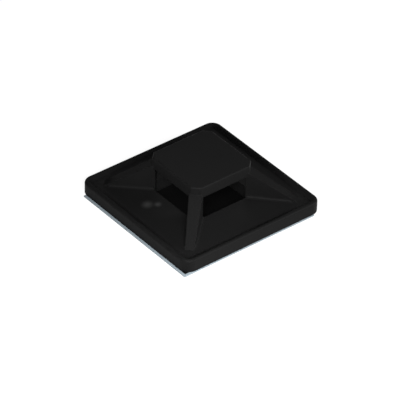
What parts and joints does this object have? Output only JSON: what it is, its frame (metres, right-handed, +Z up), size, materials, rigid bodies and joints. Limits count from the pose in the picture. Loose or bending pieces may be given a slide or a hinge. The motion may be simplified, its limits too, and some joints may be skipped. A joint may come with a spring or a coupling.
{
  "type": "cable tie mount",
  "caption": "Low square self-adhesive mount with a raised square bridge on diagonal legs, so that a cable tie threads under it either way.",
  "frame": {"origin": "under the middle of the square base, in the plane of the liner's underside, where the mount stands on a table", "axes": "+Z up through the middle of the bridge; +X and +Y out through the bridge's windows, square to the base's sides"},
  "size_m": [0.028, 0.0283, 0.0088],
  "materials": {
    "moulding": "black nylon, satin as moulded",
    "adhesive_foam": "thin black foam with tacky faces",
    "liner_paper": "smooth siliconised paper"
  },
  "bodies": {
    "root": {"mount_body": "moulding", "adhesive_pad": "adhesive_foam", "release_liner": "liner_paper"}
  },
  "joints": []
}
